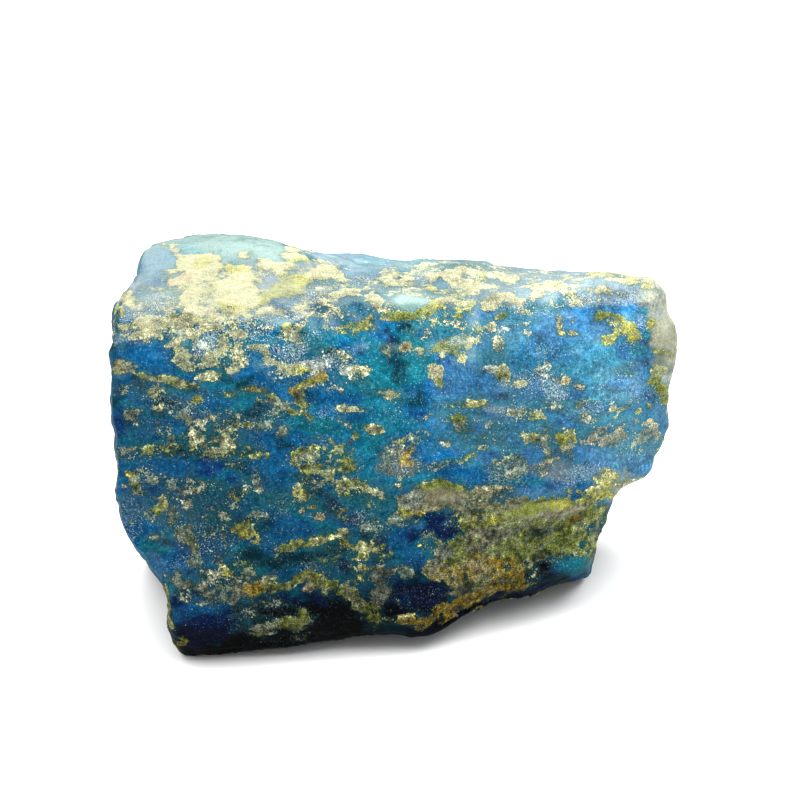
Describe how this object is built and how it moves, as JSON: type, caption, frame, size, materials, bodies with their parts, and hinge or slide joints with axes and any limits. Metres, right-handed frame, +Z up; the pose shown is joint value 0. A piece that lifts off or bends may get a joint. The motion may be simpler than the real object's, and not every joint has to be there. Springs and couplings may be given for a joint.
{
  "type": "lapis lazuli stone",
  "caption": "Rough blue stone with cream and olive crusts, broken along its bedding, with an undercut foot; it lies free on a level surface.",
  "frame": {"origin": "middle of the footprint box, on the surface that the stone rests on", "axes": "+X along the stone's length, +Z up, and the broad side with the blue and cream patches faces -Y, leaning back a little"},
  "size_m": [0.0494, 0.0332, 0.0308],
  "materials": {
    "lapis": "rough, with fine sparkle and cream to olive crust"
  },
  "bodies": {
    "root": {"stone": "lapis"}
  },
  "joints": []
}
